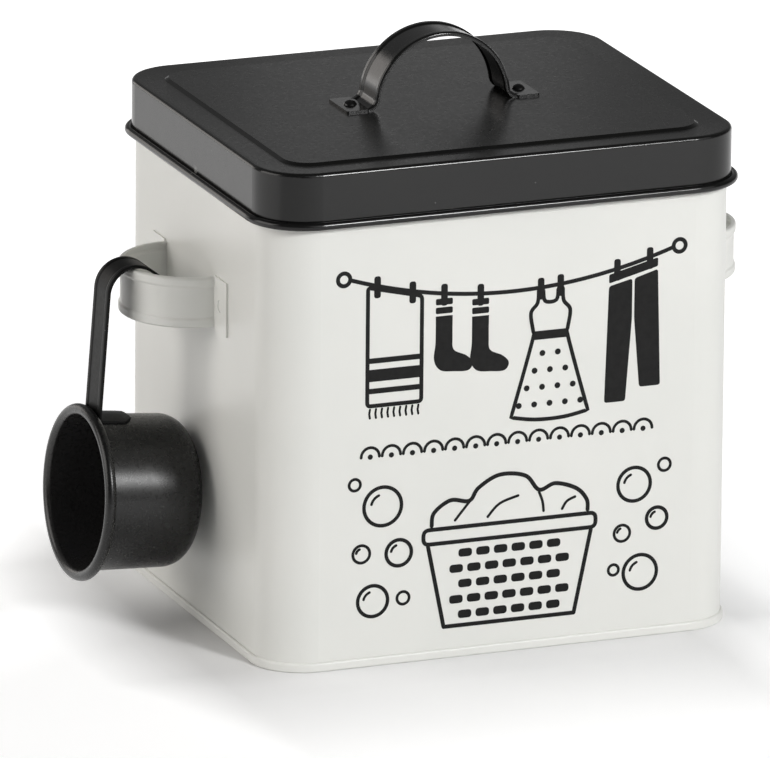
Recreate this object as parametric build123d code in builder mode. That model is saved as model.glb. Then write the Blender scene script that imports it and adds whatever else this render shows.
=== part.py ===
from build123d import *

import os
from math import asin, atan2, cos, degrees, hypot, radians, sin, sqrt, tan

# Washing powder box: a folded tin box with a slip-over lid, strap handles and a hanging scoop.
# Millimetres. The origin is the middle of the base on the floor, +Z is up and the front faces -Y.

# Box wall
body_width = 200.0
body_depth = 172.0
body_corner = 20.0
wall_height = 205.0
wall_sheet = 0.6
wall_hem_height = 6.0
wall_hem_edge = 0.5
wall_seam_width = 6.0
wall_seam_groove = 0.3

# Base pan, whose edge is rolled round the foot of the wall
base_sheet = 0.7
base_roll_height = 3.8
base_roll_sheet = 1.1
base_roll_radius = 0.9
base_recess = 2.4
seam_clearance = 0.05

# Lid
lid_sheet = 0.6
lid_clearance = 1.1
lid_seat_gap = 0.4
lid_height = 22.8
lid_edge_radius = 1.5
lid_bead_radius = 1.6
lid_bead_reach = 2.8
lid_rim_flat = 0.8
lid_gutter_depth = 0.3
lid_gutter_floor = 0.8
lid_panel_margin = 12.5
lid_panel_slope = 1.6
lid_panel_rise = 1.0
lid_panel_corner = 12.0

# Lid handle
arch_shift = 1.8
arch_width = 19.5
arch_span = 58.5
arch_rise = 29.9
arch_sheet = 1.0
arch_flange = 1.8
arch_lip = 2.2
arch_groove = 0.6
arch_root_bend = 4.0
foot_width = 20.6
foot_length = 12.25
foot_corner = 0.8
rivet_inset = 5.2
rivet_head_radius = 2.8
rivet_head_height = 1.8
rivet_shank_radius = 1.6
rivet_tail_radius = 2.8
rivet_tail_height = 0.9
rivet_clearance = 0.05

# Side handles
bow_height = 20.8
bow_center_z = 137.7
bow_shift = 6.0
bow_span = 58.0
bow_reach = 29.2
bow_sheet = 0.9
bow_flange = 2.0
bow_lip = 2.6
bow_groove = 0.7
tab_height = 22.4
tab_length = 14.2
tab_corner = 0.8
weld_radius = 2.5
weld_depth = 0.3

# Rolled edges of all the straps
strap_slope = 0.9
strap_bend = 0.6

# Scoop cup, lying with its mouth away from the box
cup_radius = 31.8
cup_taper = 1.1
cup_depth = 46.1
cup_sheet = 0.7
cup_bottom_bend = 10.0
cup_rim_radius = 2.3
cup_rim_slit = 70.0

# Scoop handle, a hook that hangs on the left side handle
hang_tilt = 4.7
hang_turn = 1.2
hook_width = 16.0
hook_sheet = 0.9
hook_flange = 1.2
hook_lip = 2.0
hook_groove = 0.3
hook_radius = 12.0
hook_offset = 2.4
hook_seat_gap = 0.35
hook_drop = 83.7
hook_setback = 16.4
hook_fall = 33.0
hook_tail = 12.7
hook_tab_length = 15.0
hook_tab_corner = 3.0
hook_rim_gap = 0.2
hook_weld_gap = 0.02

# Places that follow from the sizes above
wall_inner_corner = body_corner - wall_sheet
base_outset = seam_clearance + base_roll_sheet
lid_outset = lid_clearance + lid_sheet
lid_width = body_width + 2 * lid_outset
lid_depth = body_depth + 2 * lid_outset
lid_corner = body_corner + lid_outset
lid_top = wall_height + lid_seat_gap + lid_sheet
lid_bottom = lid_top - lid_height
gutter_z = lid_top - lid_gutter_depth
panel_z = gutter_z + lid_panel_rise
foot_top = panel_z + arch_sheet
rivet_x = arch_span / 2 + foot_length - rivet_inset
bow_top = bow_center_z + bow_height / 2
bow_radius = bow_span / 2
bow_leg_x = -(body_width / 2 + bow_reach - bow_radius)
rivet_places = (arch_shift - rivet_x, arch_shift + rivet_x)


def lid_block(inset, drop):
    """The lid's outer form, with its skirt moved in and its top lowered for the inside."""
    top = lid_top - drop
    with BuildPart() as block:
        with BuildSketch(Plane.XY.offset(lid_bottom)):
            RectangleRounded(lid_width - 2 * inset, lid_depth - 2 * inset, lid_corner - inset)
        extrude(amount=top - lid_bottom)
        fillet(block.faces().sort_by(Axis.Z)[-1].edges(), lid_edge_radius - inset)
        with BuildSketch(Plane.XY.offset(top)):
            lid_outline(lid_edge_radius + lid_rim_flat, lid_corner - lid_edge_radius - lid_rim_flat)
        with BuildSketch(Plane.XY.offset(top - lid_gutter_depth)):
            lid_outline(lid_panel_margin - lid_gutter_floor, lid_panel_corner + lid_gutter_floor)
        loft(mode=Mode.SUBTRACT)
        with BuildSketch(Plane.XY.offset(top - lid_gutter_depth)):
            lid_outline(lid_panel_margin, lid_panel_corner)
        with BuildSketch(Plane.XY.offset(top - lid_gutter_depth + lid_panel_rise)):
            lid_outline(lid_panel_margin + lid_panel_slope, lid_panel_corner - lid_panel_slope)
        loft()
    return block.part


def lid_outline(margin, corner):
    """Rounded rectangle that keeps a margin inside the lid's outer face."""
    return RectangleRounded(lid_width - 2 * margin, lid_depth - 2 * margin, corner)


def strap_section(plane, width, flange, lip, groove, sheet):
    """Pressed strap seen end on: its rolled edges stand on the plane's X axis, a groove runs between them."""
    side = (width - sheet) / 2
    crest = -sheet / 2
    with BuildSketch(plane) as section:
        with BuildLine():
            FilletPolyline(
                (-side, -flange),
                (-side, crest),
                (lip - side, crest),
                (lip + strap_slope - side, crest - groove),
                (side - lip - strap_slope, crest - groove),
                (side - lip, crest),
                (side, crest),
                (side, -flange),
                radius=strap_bend,
            )
        trace(line_width=sheet)
    return section.sketch


# Box wall: one sheet wrapped into a rounded tube, hemmed at the top and seamed at the back
with BuildPart() as box_wall:
    with BuildSketch(Plane.XY.offset(base_sheet)):
        RectangleRounded(body_width, body_depth, body_corner)
        RectangleRounded(
            body_width - 2 * wall_sheet, body_depth - 2 * wall_sheet, wall_inner_corner, mode=Mode.SUBTRACT
        )
    extrude(amount=wall_height - base_sheet)
    with BuildSketch(Plane.XY.offset(wall_height - wall_hem_height)):
        RectangleRounded(body_width - wall_sheet, body_depth - wall_sheet, body_corner - wall_sheet / 2)
        RectangleRounded(
            body_width - 4 * wall_sheet,
            body_depth - 4 * wall_sheet,
            body_corner - 2 * wall_sheet,
            mode=Mode.SUBTRACT,
        )
    extrude(amount=wall_hem_height)
    fillet(box_wall.faces().sort_by(Axis.Z)[-1].outer_wire().edges(), wall_hem_edge)
    seam_foot = base_recess + base_sheet + seam_clearance
    with BuildSketch(Plane.XY.offset(seam_foot)):
        with Locations((0, body_depth / 2 - wall_sheet)):
            Rectangle(wall_seam_width, wall_sheet, align=(Align.CENTER, Align.MAX))
    extrude(amount=wall_height - wall_hem_height - seam_foot)
    with BuildSketch(Plane.XY.offset(base_roll_height)):
        with Locations((wall_seam_width / 2, body_depth / 2)):
            Rectangle(wall_seam_groove, 2 * wall_seam_groove)
    extrude(amount=wall_height, mode=Mode.SUBTRACT)
box_wall.part.label = "box_wall"

# Base pan: a raised floor inside a rolled edge that clasps the wall's foot
with BuildPart() as box_base:
    with BuildSketch(Plane.XY):
        RectangleRounded(
            body_width + 2 * base_outset,
            body_depth + 2 * base_outset,
            body_corner + base_outset,
        )
    extrude(amount=base_roll_height)
    fillet(box_base.faces().sort_by(Axis.Z)[0].edges(), base_roll_radius)
    fillet(box_base.faces().sort_by(Axis.Z)[-1].edges(), base_roll_radius)
    flange_inset = wall_sheet + seam_clearance
    flange_width = body_width - 2 * flange_inset
    flange_depth = body_depth - 2 * flange_inset
    flange_corner = body_corner - flange_inset
    with BuildSketch(Plane.XY.offset(base_sheet)):
        RectangleRounded(
            body_width + 2 * seam_clearance,
            body_depth + 2 * seam_clearance,
            body_corner + seam_clearance,
        )
        RectangleRounded(flange_width, flange_depth, flange_corner, mode=Mode.SUBTRACT)
    extrude(amount=base_roll_height, mode=Mode.SUBTRACT)
    with BuildSketch(Plane.XY.offset(base_recess + base_sheet)):
        RectangleRounded(flange_width, flange_depth, flange_corner)
    extrude(amount=base_roll_height, mode=Mode.SUBTRACT)
    with BuildSketch(Plane.XY):
        RectangleRounded(
            flange_width - 2 * base_sheet,
            flange_depth - 2 * base_sheet,
            flange_corner - base_sheet,
        )
    extrude(amount=base_recess, mode=Mode.SUBTRACT)
box_base.part.label = "box_base"

# Side handles: a pressed strap bent into a bow, with a flat tab welded to the wall at each end
with BuildPart() as left_side_handle:
    with BuildLine(Plane((0, bow_shift, bow_center_z))) as bow_path:
        Line((-body_width / 2, bow_radius), (bow_leg_x, bow_radius))
        CenterArc((bow_leg_x, 0), bow_radius, 90, 180)
        Line((bow_leg_x, -bow_radius), (-body_width / 2, -bow_radius))
    bow_end = Plane(origin=bow_path.wires()[0] @ 0, x_dir=(0, 0, 1), z_dir=(-1, 0, 0))
    sweep(sections=strap_section(bow_end, bow_height, bow_flange, bow_lip, bow_groove, bow_sheet))
    for side in (-1, 1):
        tab_middle = bow_shift + side * (bow_radius + tab_length / 2 - bow_groove - bow_sheet / 2)
        with BuildSketch(Plane.YZ.offset(-body_width / 2)):
            with Locations((tab_middle, bow_center_z)):
                RectangleRounded(tab_length, tab_height, tab_corner)
        extrude(amount=-bow_sheet)
        with BuildSketch(Plane.YZ.offset(-body_width / 2 - bow_sheet)):
            with Locations((tab_middle, bow_center_z)):
                Circle(weld_radius)
        extrude(amount=weld_depth, mode=Mode.SUBTRACT)
left_side_handle.part.label = "left_side_handle"

with BuildPart() as right_side_handle:
    add(left_side_handle.part.rotate(Axis.Z, 180))
right_side_handle.part.label = "right_side_handle"

# Lid: a drawn shell with a wired bead round its skirt and a raised panel inside a shallow gutter
lid_outside = lid_block(0, 0)
lid_inside = lid_block(lid_sheet, lid_sheet)
bead_center = lid_bead_reach - lid_bead_radius
bead_z = lid_bottom + lid_bead_radius
with BuildSketch(Plane.XY.offset(bead_z)) as bead_outline:
    RectangleRounded(lid_width + 2 * bead_center, lid_depth + 2 * bead_center, lid_corner + bead_center)
bead_path = bead_outline.sketch.face().outer_wire()
with BuildPart() as lid_shell:
    add(lid_outside)
    with BuildSketch(Plane(origin=bead_path @ 0, z_dir=bead_path % 0)):
        Circle(lid_bead_radius)
    sweep(path=bead_path)
    add(lid_inside, mode=Mode.SUBTRACT)
    with Locations(*[(place, 0, panel_z) for place in rivet_places]):
        Hole(rivet_shank_radius + rivet_clearance, depth=2 * lid_sheet)
lid_shell.part.label = "lid_shell"

# Lid handle: a pressed strap bent into an arch, which turns out into a flat foot at each end
arch_radius = arch_span / 2
arch_center_z = panel_z + arch_rise - arch_radius
bend_center_z = foot_top + arch_root_bend
bend_center_x = sqrt((arch_radius + arch_root_bend) ** 2 - (bend_center_z - arch_center_z) ** 2)
root_angle = degrees(atan2(bend_center_z - arch_center_z, bend_center_x))
foot_end = arch_radius + foot_length
foot_root = bend_center_x - arch_sheet
with BuildPart() as lid_handle:
    with BuildLine(Plane((arch_shift, 0, 0), x_dir=(1, 0, 0), z_dir=(0, -1, 0))) as arch_path:
        CenterArc((-bend_center_x, bend_center_z), arch_root_bend, 270, 90 - root_angle)
        CenterArc((0, arch_center_z), arch_radius, 180 - root_angle, 2 * root_angle - 180)
        CenterArc((bend_center_x, bend_center_z), arch_root_bend, 180 + root_angle, 90 - root_angle)
    arch = arch_path.wires()[0]
    arch_end = Plane(origin=arch @ 0, x_dir=(0, 1, 0), z_dir=arch % 0)
    sweep(sections=strap_section(arch_end, arch_width, arch_flange, arch_lip, arch_groove, arch_sheet))
    split(bisect_by=Plane.XY.offset(panel_z), keep=Keep.TOP)
    for side in (-1, 1):
        with BuildSketch(Plane.XY.offset(panel_z)):
            with Locations((arch_shift + side * (foot_root + foot_end) / 2, 0)):
                RectangleRounded(foot_end - foot_root, foot_width, foot_corner)
        extrude(amount=arch_sheet)
    with Locations(*[(place, 0, foot_top) for place in rivet_places]):
        Hole(rivet_shank_radius + rivet_clearance, depth=2 * arch_sheet)
lid_handle.part.label = "lid_handle"

# Lid rivets: a domed head on each foot, with the shank spread under the lid
rivet_dome_radius = (rivet_head_radius**2 + rivet_head_height**2) / (2 * rivet_head_height)
with BuildPart() as lid_rivets:
    for rivet_place in rivet_places:
        tail_top = panel_z - lid_sheet
        with BuildSketch(Plane.XZ):
            with BuildLine():
                Line((rivet_place, foot_top + rivet_head_height), (rivet_place, tail_top - rivet_tail_height))
                Polyline(
                    (rivet_place, tail_top - rivet_tail_height),
                    (rivet_place + rivet_tail_radius, tail_top - rivet_tail_height),
                    (rivet_place + rivet_tail_radius, tail_top),
                    (rivet_place + rivet_shank_radius, tail_top),
                    (rivet_place + rivet_shank_radius, foot_top),
                    (rivet_place + rivet_head_radius, foot_top),
                )
                RadiusArc(
                    (rivet_place + rivet_head_radius, foot_top),
                    (rivet_place, foot_top + rivet_head_height),
                    -rivet_dome_radius,
                )
            make_face()
        revolve(axis=Axis((rivet_place, 0, 0), (0, 0, 1)))
lid_rivets.part.label = "lid_rivets"

# Where the scoop hangs: the hollow of its hook rests on the bow's top edge
hook_hollow = hook_radius - max(hook_flange, hook_sheet + hook_groove)
hook_center_x = hook_offset - body_width / 2 - bow_reach
hook_center_z = bow_top + hook_seat_gap - sqrt(hook_hollow**2 - hook_offset**2)
hang_reach = bow_leg_x - hook_center_x
tilt = radians(hang_tilt)
turn = radians(hang_turn)
hang_plane = Plane(
    origin=(bow_leg_x - hang_reach * cos(turn), bow_shift - hang_reach * sin(turn), hook_center_z),
    x_dir=(cos(tilt) * cos(turn), cos(tilt) * sin(turn), -sin(tilt)),
    z_dir=(sin(turn), -cos(turn), 0),
)

# Scoop cup: one drawn sheet with a rounded bottom, a slight taper and a rolled rim.
# The scoop is drawn upright about its hook's centre, and then moved to where it hangs.
cup_axis = Axis((0, -hook_drop, 0), (1, 0, 0))
cup_bottom_x = cup_depth - hook_setback
rim_x = cup_rim_radius - hook_setback
cup_middle = cup_radius - cup_sheet / 2 - hook_drop
rim_middle = cup_rim_radius - cup_sheet / 2
with BuildPart() as cup_form:
    with BuildSketch():
        with BuildLine():
            FilletPolyline(
                (cup_bottom_x - cup_sheet / 2, -hook_drop),
                (cup_bottom_x - cup_sheet / 2, cup_middle - cup_taper),
                (rim_x, cup_middle),
                radius=cup_bottom_bend - cup_sheet / 2,
            )
            CenterArc((rim_x, cup_middle + rim_middle), rim_middle, 270, cup_rim_slit - 360)
        trace(line_width=cup_sheet)
    revolve(axis=cup_axis)
with BuildPart() as scoop_cup:
    add(cup_form.part.moved(hang_plane.location))
scoop_cup.part.label = "scoop_cup"

# Scoop handle: a pressed strap welded on top of the cup, bent up behind the rim and over into a hook
leg_foot_x = rim_x + cup_rim_radius + hook_rim_gap
leg_foot_y = cup_radius - hook_drop
hook_lean = atan2(-leg_foot_x, -leg_foot_y) - asin(hook_radius / hypot(leg_foot_x, leg_foot_y))
leg_sink = cup_radius - sqrt(cup_radius**2 - (hook_width / 2) ** 2) + cup_taper + hook_sheet
leg_start = (leg_foot_x - leg_sink * tan(hook_lean), leg_foot_y - leg_sink)
leg_end = (-hook_radius * cos(hook_lean), hook_radius * sin(hook_lean))
fall = radians(hook_fall)
hook_end = (hook_radius * sin(fall), hook_radius * cos(fall))
tail_end = (hook_end[0] + hook_tail * cos(fall), hook_end[1] - hook_tail * sin(fall))
weld_y = cup_radius + hook_weld_gap - hook_drop
taper_slope = cup_taper / (cup_bottom_x - rim_x)
tab_end_x = leg_foot_x + hook_tab_length
tab_rise = taper_slope * hook_tab_length
with BuildPart() as weld_tab:
    with BuildSketch(Plane(cup_axis.position, x_dir=(1, 0, 0), z_dir=(0, 1, 0))):
        with Locations((leg_foot_x, 0)):
            weld_outline = Rectangle(hook_tab_length, hook_width, align=(Align.MIN, Align.CENTER))
        chamfer(weld_outline.vertices().sort_by(cup_axis)[-2:], hook_tab_corner)
    extrude(amount=2 * cup_radius)
    with BuildSketch():
        with BuildLine():
            Polyline(
                (leg_foot_x, weld_y),
                (tab_end_x, weld_y - tab_rise),
                (tab_end_x, weld_y - tab_rise + hook_sheet),
                (leg_foot_x, weld_y + hook_sheet),
                close=True,
            )
        make_face()
    revolve(axis=cup_axis, mode=Mode.INTERSECT)
with BuildPart() as hook_form:
    with BuildLine() as hook_path:
        Line(leg_start, leg_end)
        CenterArc((0, 0), hook_radius, 180 - degrees(hook_lean), degrees(hook_lean) - 90 - hook_fall)
        Line(hook_end, tail_end)
    strap = hook_path.wires()[0]
    strap_start = Plane(origin=strap @ 0, x_dir=(0, 0, -1), z_dir=strap % 0)
    sweep(sections=strap_section(strap_start, hook_width, hook_flange, hook_lip, hook_groove, hook_sheet))
    with BuildSketch():
        with BuildLine():
            Polyline(
                (-hook_setback, -hook_drop),
                (-hook_setback, weld_y),
                (leg_foot_x, weld_y),
                (cup_bottom_x, weld_y - taper_slope * (cup_bottom_x - leg_foot_x)),
                (cup_bottom_x, -hook_drop),
                close=True,
            )
        make_face()
    revolve(axis=cup_axis, mode=Mode.SUBTRACT)
    add(weld_tab.part)
with BuildPart() as scoop_handle:
    add(hook_form.part.moved(hang_plane.location))
scoop_handle.part.label = "scoop_handle"

os.makedirs("parts", exist_ok=True)
export_step(box_wall.part, "parts/box_wall.step")
export_step(box_base.part, "parts/box_base.step")
export_step(left_side_handle.part, "parts/left_side_handle.step")
export_step(right_side_handle.part, "parts/right_side_handle.step")
export_step(lid_shell.part, "parts/lid_shell.step")
export_step(lid_handle.part, "parts/lid_handle.step")
export_step(lid_rivets.part, "parts/lid_rivets.step")
export_step(scoop_cup.part, "parts/scoop_cup.step")
export_step(scoop_handle.part, "parts/scoop_handle.step")
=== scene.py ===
import math

import bpy
from mathutils import Matrix, Vector
from mathutils.geometry import tessellate_polygon


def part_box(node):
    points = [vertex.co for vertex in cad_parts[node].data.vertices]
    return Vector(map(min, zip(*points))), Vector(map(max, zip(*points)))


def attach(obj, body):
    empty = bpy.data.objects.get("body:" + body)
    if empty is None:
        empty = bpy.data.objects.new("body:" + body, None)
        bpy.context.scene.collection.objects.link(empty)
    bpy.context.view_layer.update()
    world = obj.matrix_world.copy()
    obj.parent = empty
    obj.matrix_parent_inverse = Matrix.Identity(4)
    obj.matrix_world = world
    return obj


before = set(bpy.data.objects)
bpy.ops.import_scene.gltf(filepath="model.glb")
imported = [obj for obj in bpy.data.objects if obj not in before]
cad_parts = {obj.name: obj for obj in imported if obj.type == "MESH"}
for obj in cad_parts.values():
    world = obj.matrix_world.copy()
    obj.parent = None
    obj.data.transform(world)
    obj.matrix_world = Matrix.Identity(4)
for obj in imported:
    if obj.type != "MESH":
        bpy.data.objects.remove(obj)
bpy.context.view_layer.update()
MM = 0.001


# Camera

IMAGE_WIDTH = 770
FOCAL_PIXELS = 13211.0
SENSOR_WIDTH = 36.0
CAMERA_AZIMUTH = -21.61
CAMERA_ELEVATION = 16.472
CAMERA_ROLL = 0.495
CAMERA_DISTANCE = 5.332
AIM_RIGHT = -0.01713
AIM_HEIGHT = 0.08931


def make_camera():
    """A long lens, turned to the box's left front corner and looking a little down."""
    azimuth = math.radians(CAMERA_AZIMUTH)
    elevation = math.radians(CAMERA_ELEVATION)
    roll = math.radians(CAMERA_ROLL)
    back = Vector((
        math.sin(azimuth) * math.cos(elevation),
        -math.cos(azimuth) * math.cos(elevation),
        math.sin(elevation),
    ))
    level_right = Vector((math.cos(azimuth), math.sin(azimuth), 0))
    level_up = back.cross(level_right)
    right = math.cos(roll) * level_right + math.sin(roll) * level_up
    up = math.cos(roll) * level_up - math.sin(roll) * level_right
    aim = AIM_RIGHT * level_right + Vector((0, 0, AIM_HEIGHT))
    turn = Matrix((right, up, back)).transposed().to_4x4()
    data = bpy.data.cameras.new("camera")
    data.lens = FOCAL_PIXELS * SENSOR_WIDTH / IMAGE_WIDTH
    data.sensor_width = SENSOR_WIDTH
    data.clip_end = 100
    camera = bpy.data.objects.new("camera", data)
    camera.matrix_world = Matrix.Translation(aim + CAMERA_DISTANCE * back) @ turn
    bpy.context.scene.collection.objects.link(camera)
    bpy.context.scene.camera = camera


# Materials

UP = (0, 0, 1)


class Nodes:
    """A material's or the world's node tree, with short calls for the nodes that they share."""

    def __init__(self, owner, shader="Principled BSDF"):
        owner.use_nodes = True
        self.owner = owner
        self.tree = owner.node_tree
        self.shader = self.tree.nodes[shader]
        coordinates = self.tree.nodes.new("ShaderNodeTexCoord").outputs
        self.place = coordinates["Object"]
        self.facing = coordinates["Normal"]
        self.direction = coordinates["Generated"]

    def new(self, kind, **settings):
        node = self.tree.nodes.new(kind)
        for key, value in settings.items():
            setattr(node, key, value)
        return node

    def link(self, source, target):
        self.tree.links.new(source, target)

    def set(self, **values):
        """Fixed values on the shader's sockets."""
        for key, value in values.items():
            self.shader.inputs[key.replace("_", " ")].default_value = value

    def feed(self, **sources):
        """Other nodes' outputs on the shader's sockets."""
        for key, source in sources.items():
            self.link(source, self.shader.inputs[key.replace("_", " ")])

    def noise(self, scale, detail=2.0):
        """Noise of about one feature for each 1/scale of a metre."""
        node = self.new("ShaderNodeTexNoise")
        node.inputs["Scale"].default_value = scale
        node.inputs["Detail"].default_value = detail
        self.link(self.place, node.inputs["Vector"])
        return node.outputs["Fac"]

    def nearest(self, scale):
        """Distance to the nearest of many scattered points, about 1/scale of a metre apart."""
        cells = self.new("ShaderNodeTexVoronoi")
        cells.inputs["Scale"].default_value = scale
        self.link(self.place, cells.inputs["Vector"])
        return cells.outputs["Distance"]

    def spread(self, value, low, high, start=0.3, end=0.7, curve="LINEAR"):
        """The value's range from start to end, mapped to low and high."""
        node = self.new("ShaderNodeMapRange", interpolation_type=curve)
        for key, number in (("From Min", start), ("From Max", end), ("To Min", low), ("To Max", high)):
            node.inputs[key].default_value = number
        self.link(value, node.inputs["Value"])
        return node.outputs["Result"]

    def blend(self, factor, first, second):
        """Two colours, mixed by a factor. Either may be another node's output."""
        node = self.new("ShaderNodeMix", data_type="RGBA")
        self.link(factor, node.inputs["Factor"])
        for socket, colour in ((node.inputs[6], first), (node.inputs[7], second)):
            if isinstance(colour, tuple):
                socket.default_value = (*colour, 1)
            else:
                self.link(colour, socket)
        return node.outputs[2]

    def bump(self, height, distance, under=None):
        """A surface raised by a height, on top of another bump if there is one."""
        node = self.new("ShaderNodeBump")
        node.inputs["Distance"].default_value = distance
        self.link(height, node.inputs["Height"])
        if under:
            self.link(under, node.inputs["Normal"])
        return node.outputs["Normal"]

    def math(self, operation, first, second):
        """Two values joined by an operation. The second may be a plain number."""
        node = self.new("ShaderNodeMath", operation=operation)
        self.link(first, node.inputs[0])
        if isinstance(second, float):
            node.inputs[1].default_value = second
        else:
            self.link(second, node.inputs[1])
        return node.outputs["Value"]

    def vector(self, operation, first, second):
        """A vector operation's node. The second vector may be fixed."""
        node = self.new("ShaderNodeVectorMath", operation=operation)
        self.link(first, node.inputs[0])
        if isinstance(second, tuple):
            node.inputs[1].default_value = second
        else:
            self.link(second, node.inputs[1])
        return node

    def along(self, first, way):
        """How far a vector goes along a way."""
        return self.vector("DOT_PRODUCT", first, way).outputs["Value"]

    def rise(self, ramps):
        """What several ramps add up to."""
        parts = [
            self.spread(self.along(self.place, way), 0, amount, start, end)
            for way, start, end, amount in ramps
        ]
        total = parts[0]
        for part in parts[1:]:
            total = self.math("ADD", total, part)
        return total

    def turned_to(self, point):
        """One on faces that look toward a point, and nothing on those that look away from it."""
        outward = self.vector("SUBTRACT", self.place, point).outputs["Vector"]
        return self.math("LESS_THAN", self.along(self.facing, outward), 0.0)


def new_material(name):
    """The nodes of a new material."""
    return Nodes(bpy.data.materials.new(name))


WHITE_SHADES = ((0.785, 0.79, 0.755), (0.82, 0.82, 0.785))


def white_paint():
    """Smooth satin powder coat: a faint mottle, orange peel and a little unevenness in the gloss."""
    m = new_material("white_paint")
    mottle = m.spread(m.noise(14, detail=3), 0, 1)
    dullness = m.spread(m.noise(420, detail=3), 0.33, 0.41)
    waves = m.bump(m.noise(90, detail=1), 0.04 * MM)
    peel = m.bump(m.noise(900, detail=2), 0.012 * MM, under=waves)
    m.feed(Base_Color=m.blend(mottle, *WHITE_SHADES), Roughness=dullness, Normal=peel)
    m.set(Specular_IOR_Level=0.45)
    return m.owner


BLACK_SHADES = ((0.8, 0.8, 0.8), (1.2, 1.2, 1.15))
SPECK_GREY = (0.16, 0.16, 0.155)
SPECK_SCALE = 110
# How far a speck's core and its edge reach, as shares of the space between specks.
SPECK_CORE = 0.018
SPECK_EDGE = 0.03
CUP_MIDDLE = (-0.133, 0.0044, 0.0541)
# Painted light: the lighter grey painted on the cup's inside in place of light in its shaded hollow.
CUP_INSIDE_PAINTED_LIGHT = (0.03, 0.029, 0.029)
LID_NICK = (-0.1019, -0.0032, 0.1876)
NICK_CORE = 1.5 * MM
NICK_EDGE = 1.9 * MM
# How far upward a face has to look to count as a flat top: from here on, and fully.
FLAT_FROM = 0.97
FLAT_FULL = 0.995


def black_paint(name, depth, roughness, grain, shine, flat=None, painted_inside_light=False, nicked=False):
    """Black stove paint over a fine grain, with dust specks.

    Flat tops may be duller by an amount, the cup's inside is painted a lighter grey as painted light in
    its shaded hollow, and the lid has a nick on its left.
    """
    m = new_material(name)
    shades = [tuple(share * depth for share in shade) for shade in BLACK_SHADES]
    coat = m.blend(m.spread(m.noise(25, detail=3), 0, 1), *shades)
    if painted_inside_light:
        # Painted light: faces that look toward the cup's middle, its inside, get a lighter grey that
        # stands in for light in the shaded hollow.
        coat = m.blend(m.turned_to(CUP_MIDDLE), coat, CUP_INSIDE_PAINTED_LIGHT)
    specks = m.spread(m.nearest(SPECK_SCALE), 1, 0, SPECK_CORE, SPECK_EDGE)
    if nicked:
        reach = m.vector("DISTANCE", m.place, LID_NICK).outputs["Value"]
        ragged = m.math("ADD", reach, m.spread(m.noise(1400), -0.8 * MM, 1.2 * MM))
        specks = m.math("MAXIMUM", specks, m.spread(ragged, 1, 0, NICK_CORE, NICK_EDGE))
    dullness = m.spread(m.noise(650, detail=3), roughness - 0.03, roughness + 0.04)
    if flat:
        worn = m.spread(m.along(m.facing, UP), 0, flat, FLAT_FROM, FLAT_FULL)
        dullness = m.math("ADD", dullness, worn)
    waves = m.bump(m.noise(70, detail=1), 0.05 * MM)
    peel = m.bump(m.noise(1900, detail=2), grain, under=waves)
    m.feed(Base_Color=m.blend(specks, coat, SPECK_GREY), Roughness=dullness, Normal=peel)
    m.set(Specular_IOR_Level=shine)
    return m.owner


INK_SHADES = ((0.003, 0.003, 0.003), (0.007, 0.007, 0.0067))


def ink():
    """Black printing ink, a little uneven in depth."""
    m = new_material("ink")
    depth = m.spread(m.noise(300, detail=4), 0, 1)
    dullness = m.spread(m.noise(700, detail=2), 0.45, 0.6)
    m.feed(Base_Color=m.blend(depth, *INK_SHADES), Roughness=dullness)
    m.set(Specular_IOR_Level=0.2)
    return m.owner


# Print on the front

INK_BACK = 0.01 * MM
INK_FRONT = 0.06 * MM
INK_LEVEL = 0.002 * MM
INK_LEVELS = 31
PEN = 1.7
FINE_PEN = 1.1
RING_STEPS = 48
DOT_STEPS = 16


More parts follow.
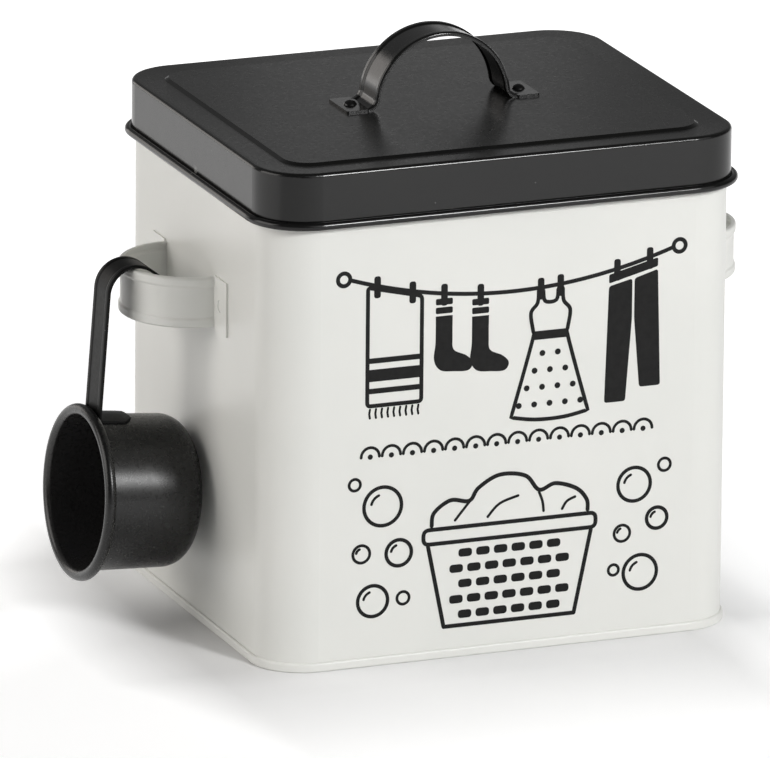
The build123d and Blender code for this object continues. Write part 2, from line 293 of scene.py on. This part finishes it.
class Drawing:
    """Flat shapes in millimetres on the front: x to the right from the middle, z up from the floor."""

    def __init__(self):
        self.points = []
        self.faces = []
        self.films = 0

    def sheet(self, points, faces, rim):
        """One closed film: its front, its back and the edge along each rim loop.

        Films that follow each other have different levels, so that they may cross.
        """
        start = len(self.points)
        count = len(points)
        front = INK_FRONT + INK_LEVEL * (self.films % INK_LEVELS)
        self.films += 1
        self.points.extend((x, front, z) for x, z in points)
        self.points.extend((x, INK_BACK, z) for x, z in points)
        for face in faces:
            self.faces.append(tuple(start + i for i in face))
            self.faces.append(tuple(start + count + i for i in reversed(face)))
        for loop in rim:
            for a, b in zip(loop, loop[1:] + loop[:1]):
                self.faces.append((start + b, start + a, start + count + a, start + count + b))

    def fill(self, outline):
        """A solid shape. Its outline may run either way round."""
        pairs = zip(outline, outline[1:] + outline[:1])
        if sum(a[0] * b[1] - b[0] * a[1] for a, b in pairs) < 0:
            outline = outline[::-1]
        triangles = tessellate_polygon([[Vector((x, z, 0)) for x, z in outline]])
        faces = [facing(outline, triangle) for triangle in triangles]
        self.sheet(outline, faces, [list(range(len(outline)))])

    def band(self, outer, inner):
        """The strip between two loops with equally many points."""
        count = len(outer)
        faces = [(i, (i + 1) % count, count + (i + 1) % count, count + i) for i in range(count)]
        self.sheet(outer + inner, faces, [list(range(count)), list(range(2 * count - 1, count - 1, -1))])

    def stroke(self, line, width=PEN):
        """A pen line with round ends."""
        half = width / 2
        left = [step_aside(line, i, half) for i in range(len(line))]
        right = [step_aside(line, i, -half) for i in range(len(line))]
        self.fill(right + cap(line[-2], line[-1], half) + left[::-1] + cap(line[1], line[0], half))

    def outline(self, loop, width=PEN):
        """A pen line all round a closed shape, drawn anticlockwise."""
        closed = loop[-1:] + loop + loop[:1]
        places = range(1, len(loop) + 1)
        self.band(
            [step_aside(closed, i, -width / 2) for i in places],
            [step_aside(closed, i, width / 2) for i in places],
        )

    def ring(self, x, z, radius, width=PEN):
        """A pen line round a circle."""
        half = width / 2
        self.band(circle(x, z, radius + half, RING_STEPS), circle(x, z, radius - half, RING_STEPS))

    def dot(self, x, z, radius):
        self.fill(circle(x, z, radius, DOT_STEPS))

    def piece(self, name, material):
        """The drawing as a thin film of ink on the wall."""
        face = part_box("box_wall")[0].y
        mesh = bpy.data.meshes.new(name)
        mesh.from_pydata([(x * MM, face - lift, z * MM) for x, lift, z in self.points], [], self.faces)
        mesh.materials.append(material)
        piece = bpy.data.objects.new(name, mesh)
        bpy.context.scene.collection.objects.link(piece)
        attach(piece, "box")


def facing(points, triangle):
    """The triangle, turned so that it runs anticlockwise."""
    (ax, az), (bx, bz), (cx, cz) = (points[i] for i in triangle)
    if (bx - ax) * (cz - az) < (cx - ax) * (bz - az):
        return tuple(reversed(triangle))
    return tuple(triangle)


def step_aside(line, i, distance):
    """The line's point i, moved across the line to its left."""
    before, after = line[max(i - 1, 0)], line[min(i + 1, len(line) - 1)]
    along = (after[0] - before[0], after[1] - before[1])
    run = math.hypot(*along)
    return (line[i][0] - along[1] / run * distance, line[i][1] + along[0] / run * distance)


def cap(before, end, half, steps=6):
    """The round end of a pen line, from its right side to its left."""
    heading = math.atan2(end[1] - before[1], end[0] - before[0])
    turns = [heading - math.pi / 2 + math.pi * i / steps for i in range(1, steps)]
    return [(end[0] + half * math.cos(turn), end[1] + half * math.sin(turn)) for turn in turns]


def arc(x, z, radius, first, last, steps):
    """Points on an arc between two angles in degrees."""
    turns = [math.radians(first + (last - first) * i / steps) for i in range(steps + 1)]
    return [(x + radius * math.cos(turn), z + radius * math.sin(turn)) for turn in turns]


def circle(x, z, radius, steps):
    return arc(x, z, radius, 0, 360, steps)[:-1]


def oblong(left, low, right, high):
    """Corners of an upright oblong, anticlockwise."""
    return [(left, low), (right, low), (right, high), (left, high)]


def smooth(points, steps=10):
    """A flowing line through all the points."""
    line = []
    for i in range(len(points) - 1):
        a, b = points[max(i - 1, 0)], points[i]
        c, d = points[i + 1], points[min(i + 2, len(points) - 1)]
        for step in range(steps):
            t = step / steps
            line.append(tuple(
                b[k]
                + t * (c[k] - a[k]) / 2
                + t**2 * (2 * a[k] - 5 * b[k] + 4 * c[k] - d[k]) / 2
                + t**3 * (3 * b[k] - a[k] - 3 * c[k] + d[k]) / 2
                for k in (0, 1)
            ))
    return line + [points[-1]]


LINE_LOW = 149.5
LINE_MIDDLE = 1.0
LINE_CURVE = 0.0024
LINE_ENDS = (-67.0, 70.0)
PEG_WIDTH = 2.8
PEG_BELOW = 5.0
PEG_ABOVE = 4.0


def line_z(x):
    """Height of the sagging clothes line."""
    return LINE_LOW + LINE_CURVE * (x - LINE_MIDDLE) ** 2


def rounded(points, radius, steps=5):
    """A closed outline with its corners rounded."""
    loop = []
    for i, corner in enumerate(points):
        ends = []
        for other in (points[i - 1], points[(i + 1) % len(points)]):
            run = math.hypot(other[0] - corner[0], other[1] - corner[1])
            share = min(radius / run, 0.45)
            ends.append([corner[k] + share * (other[k] - corner[k]) for k in (0, 1)])
        for step in range(steps + 1):
            t = step / steps
            loop.append(tuple(
                (1 - t) ** 2 * ends[0][k] + 2 * t * (1 - t) * corner[k] + t**2 * ends[1][k] for k in (0, 1)
            ))
    return loop


def draw_line(drawing):
    """The clothes line, with an eye at each end."""
    left, right = LINE_ENDS
    steps = 48
    places = [left + (right - left) * i / steps for i in range(steps + 1)]
    drawing.stroke([(x, line_z(x)) for x in places])
    for x in LINE_ENDS:
        drawing.ring(x + math.copysign(3.2, x), line_z(x) + 0.6, 2.6)


def draw_peg(drawing, x):
    z = line_z(x)
    half = PEG_WIDTH / 2
    drawing.fill(rounded(oblong(x - half, z - PEG_BELOW, x + half, z + PEG_ABOVE), 1.2))


def draw_towel(drawing):
    """A striped towel with a fringe."""
    left, right, bottom = -60.0, -37.0, 108.0
    top_left, top_right = line_z(left) - 1.5, line_z(right) - 1.5
    drawing.outline(rounded([(left, bottom), (right, bottom), (right, top_right), (left, top_left)], 1.5))
    for height, depth in ((113, 2.2), (118, 5.0), (125.5, 2.2)):
        drawing.fill(oblong(left, height, right, height + depth))
    count = 9
    for i in range(count):
        x = left + 1.2 + (right - left - 2.4) * i / (count - 1)
        drawing.stroke([(x, bottom - 1.4), (x - 0.3, bottom - 3.2), (x, bottom - 5)], 0.9)
    for x in (left + 4, right - 4):
        draw_peg(drawing, x)


def draw_sock(drawing, x, drop):
    """A solid sock with a striped cuff, toe to the right."""
    top = line_z(x) - drop
    half, stripe = 3.6, 2.6
    for height in (0.0, 3.6):
        drawing.fill(rounded(oblong(x - half, top - height - stripe, x + half, top - height), 0.7))
    drawing.fill(smooth([
        (x - half, top - 7.2), (x - half, top - 18), (x - half - 0.6, top - 25), (x - 1.5, top - 29.5),
        (x + 4.5, top - 30.5), (x + 10.5, top - 30.6), (x + 12.3, top - 27.5), (x + 9.6, top - 24.4),
        (x + half + 0.6, top - 21.5), (x + half, top - 16), (x + half, top - 7.2),
    ], 6))
    draw_peg(drawing, x)


def draw_dress(drawing):
    """A sleeveless dress with dots and a belt."""
    middle = 18.0
    top = line_z(middle) - 1.0
    waist, hem = top - 19, top - 52
    side = smooth([
        (middle + 5.2, top), (middle + 5.6, top - 5.5), (middle + 8.4, top - 9.5),
        (middle + 7.4, waist + 2), (middle + 7.2, waist), (middle + 11, waist - 14), (middle + 16.5, hem),
    ], 6)
    bottom = smooth([
        (middle + 16.5, hem), (middle + 6, hem - 1.8), (middle - 6, hem - 1.8), (middle - 16.5, hem),
    ], 6)
    neck = smooth([
        (middle - 3.2, top), (middle - 2.4, top - 5), (middle + 2.4, top - 5), (middle + 3.2, top),
    ], 5)
    other_side = [(2 * middle - x, z) for x, z in side]
    drawing.outline((side + bottom[1:] + other_side[-2::-1] + neck)[::-1], 1.6)
    drawing.fill([
        (middle - 7.6, waist - 1.8), (middle + 7.6, waist - 1.8),
        (middle + 7.1, waist + 1.8), (middle - 7.1, waist + 1.8),
    ])
    rows, row_pitch, dot_pitch, dot_radius = 4, 7, 6.6, 1.25
    for row in range(rows):
        z = waist - 7.5 - row_pitch * row
        count = 2 + row
        for i in range(count):
            x = middle + (i - (count - 1) / 2) * dot_pitch
            drawing.dot(x, z, dot_radius)
    for x in (middle - 4.2, middle + 4.2):
        draw_peg(drawing, x)


def draw_trousers(drawing):
    """Solid trousers with a waistband."""
    left, right = 43.0, 64.0
    middle = (left + right) / 2
    top_left, top_right = line_z(left) - 1.5, line_z(right) - 1.5
    drawing.fill(rounded([
        (left, top_left - 3.6), (right, top_right - 3.6), (right, top_right), (left, top_left),
    ], 0.8))
    crotch = line_z(middle) - 23
    for side, edge, top in ((-1, left, top_left), (1, right, top_right)):
        drawing.fill(rounded([
            (edge, top - 4.8), (middle + side * 0.5, line_z(middle) - 6.3), (middle + side * 0.5, crotch),
            (middle + side * 3.0, top - 53), (edge + side * 1.5, top - 53),
        ], 1.2))
    for x in (left + 3.5, right - 3.5):
        draw_peg(drawing, x)


def draw_lace(drawing):
    """A scalloped border across the middle, with a dot under each scallop."""
    left, pitch, count, z = -63.0, 9.0, 14, 87.0
    scallop_radius, dot_radius, pen = 3.9, 1.1, 1.2
    for i in range(count):
        x = left + pitch * (i + 0.5)
        drawing.stroke(arc(x, z, scallop_radius, 180, 0, 12), pen)
        drawing.dot(x, z, dot_radius)


def draw_basket(drawing):
    """A woven basket with a heap of washing in it."""
    middle, foot, rim = 1.5, 13.0, 48.0
    top_half, foot_half = 35.0, 28.0
    drawing.outline(rounded(oblong(middle - top_half - 2, rim, middle + top_half + 2, rim + 6), 2.5))
    drawing.stroke([(middle - top_half, rim - 0.8), (middle - foot_half, foot)])
    drawing.stroke([(middle + top_half, rim - 0.8), (middle + foot_half, foot)])
    drawing.stroke([(middle - foot_half, foot), (middle, foot), (middle + foot_half, foot)])
    rows, row_pitch, pitch, margin = 5, 6.4, 7.6, 4.5
    weave_half, weave_rise = 2.9, 1.7
    for row in range(rows):
        z = foot + 4.6 + row * row_pitch
        half = foot_half + (top_half - foot_half) * (z - foot) / (rim - foot) - margin
        count = int(half / pitch) * 2 + row % 2
        for i in range(count):
            x = middle + (i - (count - 1) / 2) * pitch
            weave = oblong(x - weave_half, z - weave_rise, x + weave_half, z + weave_rise)
            drawing.fill(rounded(weave, 1.5))
    heap = smooth([
        (-32, 55.6), (-31, 61), (-24, 65.5), (-16, 64.5), (-12, 69.5), (-3, 74), (8, 72.5), (14, 66),
        (21, 68), (30, 65), (34.5, 60), (35, 55.6),
    ])
    drawing.stroke(heap)
    for fold in (
        [(-22, 57), (-19, 60.5), (-16, 64)], [(-8, 57), (-3, 62), (5, 64.5)],
        [(16, 57), (15.5, 61), (14, 65)], [(24, 57), (26, 60), (29.5, 61.5)],
    ):
        drawing.stroke(smooth(fold, 5), FINE_PEN)


def draw_bubbles(drawing):
    """Soap bubbles on both sides of the basket, with a glint on each."""
    for x, z, radius in (
        (-53, 66, 8.0), (-62, 47, 3.6), (-46, 46, 5.4), (-57, 27, 6.4), (-44, 27, 2.6), (-65, 76, 2.4),
        (55, 64, 7.0), (65, 49, 4.4), (50, 44, 3.4), (58, 27, 7.2), (68, 71, 2.6), (46.5, 29, 2.2),
    ):
        drawing.ring(x, z, radius, 1.5 if radius > 4 else 1.2)
        if radius > 3:
            drawing.stroke(arc(x, z, 0.62 * radius, 110, 166, 7), FINE_PEN)


def make_print():
    """A generic drawing of washing: a clothes line, a lace border, and a basket among bubbles."""
    drawing = Drawing()
    draw_line(drawing)
    draw_towel(drawing)
    draw_sock(drawing, -27.5, 2.0)
    draw_sock(drawing, -12.0, 2.0)
    draw_dress(drawing)
    draw_trousers(drawing)
    draw_lace(drawing)
    draw_basket(drawing)
    draw_bubbles(drawing)
    drawing.piece("front_print", ink())


# Floor and light

FLOOR_REACH = 6.0
FLOOR_GREY = (0.80, 0.80, 0.80, 1)
# Each ramp has a way, where it starts and ends along that way in metres, and what it adds to the glow.
FLOOR_RAMPS = (
    ((0, -1, 0), 0.074, 0.094, 0.12),
    ((0, -1, 0), 0.094, 0.2, 0.33),
    ((-1, 0, 0), 0.12, 0.165, 0.45),
    ((1, 0, 0), 0.08, 0.1, 0.22),
    ((1, 0, 0), 0.105, 0.13, 0.23),
    ((0, 1, 0), 0.09, 0.15, 0.45),
)
FLOOR_GLOW = 0.45
# Painted light: ramps that lift the floor's glow where the lamps' shadows fall, behind and to the left of
# the box and to its right.
FLOOR_BACK_RAMPS = (
    ((-0.5, 0.86, 0), 0.05, 0.16, 0.35),
    ((1, 0, 0), 0.12, 0.17, 0.25),
)


def make_floor():
    """A pale floor with a painted glow, seen only by camera and glossy rays: low near the box so that its
    soft shadow shows, rising to white away from it, and lifted where the lamps' shadows fall behind-left
    and to the right.
    """
    corners = [(-1, -1), (1, -1), (1, 1), (-1, 1)]
    mesh = bpy.data.meshes.new("floor")
    mesh.from_pydata([(x * FLOOR_REACH, y * FLOOR_REACH, 0) for x, y in corners], [], [(0, 1, 2, 3)])
    floor = bpy.data.objects.new("floor", mesh)
    bpy.context.scene.collection.objects.link(floor)
    m = new_material("floor")
    m.set(Base_Color=FLOOR_GREY, Roughness=0.6, Specular_IOR_Level=0.2)
    # Painted light and shade: the glow is low near the box so that its shadow shows, and rises to white
    # further out.
    glow = m.math("MINIMUM", m.rise(FLOOR_RAMPS), FLOOR_GLOW)
    glow = m.math("ADD", glow, m.rise(FLOOR_BACK_RAMPS))
    rays = m.new("ShaderNodeLightPath").outputs
    seen = m.math("MAXIMUM", rays["Is Camera Ray"], rays["Is Glossy Ray"])
    seen = m.math("MAXIMUM", seen, rays["Is Transmission Ray"])
    m.set(Emission_Color=(1, 1, 1, 1))
    m.feed(Emission_Strength=m.math("MULTIPLY", glow, seen))
    mesh.materials.append(m.owner)


WORLD_BRIGHT_SIDE = (0.15, 0.98, 0.10)
WORLD_BRIGHT_FROM = 0.3
WORLD_BRIGHT_TO = 0.9
WORLD_BRIGHT = 0.2
WORLD_DARK = 0.07
HORIZON_WHITE = 0.02
HORIZON_GREY = 0.08


def make_world():
    """A studio that is brighter behind the box, with a white ground up to the horizon."""
    world = bpy.data.worlds.new("studio")
    bpy.context.scene.world = world
    m = Nodes(world, "Background")
    side = m.along(m.direction, WORLD_BRIGHT_SIDE)
    level = m.spread(side, WORLD_DARK, WORLD_BRIGHT, WORLD_BRIGHT_FROM, WORLD_BRIGHT_TO, "SMOOTHSTEP")
    ground = m.spread(m.along(m.direction, UP), 1, 0, HORIZON_WHITE, HORIZON_GREY)
    rays = m.new("ShaderNodeLightPath").outputs
    white = m.math("MULTIPLY", rays["Is Glossy Ray"], ground)
    white = m.math("MAXIMUM", white, rays["Is Camera Ray"])
    white = m.math("MAXIMUM", white, rays["Is Transmission Ray"])
    strength = m.new("ShaderNodeMix")
    m.link(white, strength.inputs["Factor"])
    m.link(level, strength.inputs["A"])
    strength.inputs["B"].default_value = 1
    m.feed(Strength=strength.outputs["Result"])
    m.set(Color=(1, 1, 1, 1))


WHITE = (1, 1, 1)
# Each light has a place, the point that it faces, a width and height, a power in watts and a colour.
LIGHTS = {
    "key_softbox": ((0.79, -1.78, 1.2), (0, 0, 0.1), (2.4, 1.7), 9.5, WHITE),
    "key_core": ((0.63, -1.75, 1.1), (0, 0, 0.1), (0.32, 0.42), 25, WHITE),
    "left_fill": ((-2.0, 0.25, 0.95), (-0.1, 0, 0.12), (1.7, 1.5), 22.5, (1, 0.97, 0.94)),
    "back_left_window": ((-0.9, 1.9, 0.52), (0, 0, 0.2), (0.9, 0.76), 3.4, (1, 0.95, 0.9)),
    "back_panel": ((0.24, 0.62, 0.372), (0, -0.02, 0.206), (0.15, 0.1), 0.0155, WHITE),
}


def area_light(name, place, aim, size, power, colour):
    """A soft panel that lights the scene without being seen itself."""
    data = bpy.data.lights.new(name, "AREA")
    data.shape = "RECTANGLE"
    data.size, data.size_y = size
    data.energy = power
    data.color = colour
    light = bpy.data.objects.new(name, data)
    light.location = place
    light.rotation_euler = (Vector(aim) - Vector(place)).to_track_quat("-Z", "Y").to_euler()
    light.visible_camera = False
    bpy.context.scene.collection.objects.link(light)


def paint_nodes():
    """Black for the lid's and the scoop's nodes, and white for the rest. The first fitting name counts."""
    gloss = {"depth": 0.006, "roughness": 0.16, "grain": 0.004 * MM}
    strap = black_paint("strap_paint", **gloss, shine=0.36)
    lid = black_paint("lid_paint", **gloss, shine=0.34, flat=0.13, nicked=True)
    # The scoop's cup gets painted light on its inside.
    cup = black_paint("scoop_paint", depth=0.005, roughness=0.28, grain=0.009 * MM, shine=0.42, painted_inside_light=True)
    hook = black_paint("hook_paint", depth=0.005, roughness=0.44, grain=0.008 * MM, shine=0.12)
    paints = {"lid_handle": strap, "lid": lid, "scoop_cup": cup, "scoop_handle": hook, "": white_paint()}
    for name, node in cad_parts.items():
        paint = next(paint for start, paint in paints.items() if name.startswith(start))
        node.data.materials.clear()
        node.data.materials.append(paint)


make_camera()
paint_nodes()
make_print()
make_floor()
make_world()
for light_name, settings in LIGHTS.items():
    area_light(light_name, *settings)
bpy.context.scene.view_settings.view_transform = "Standard"
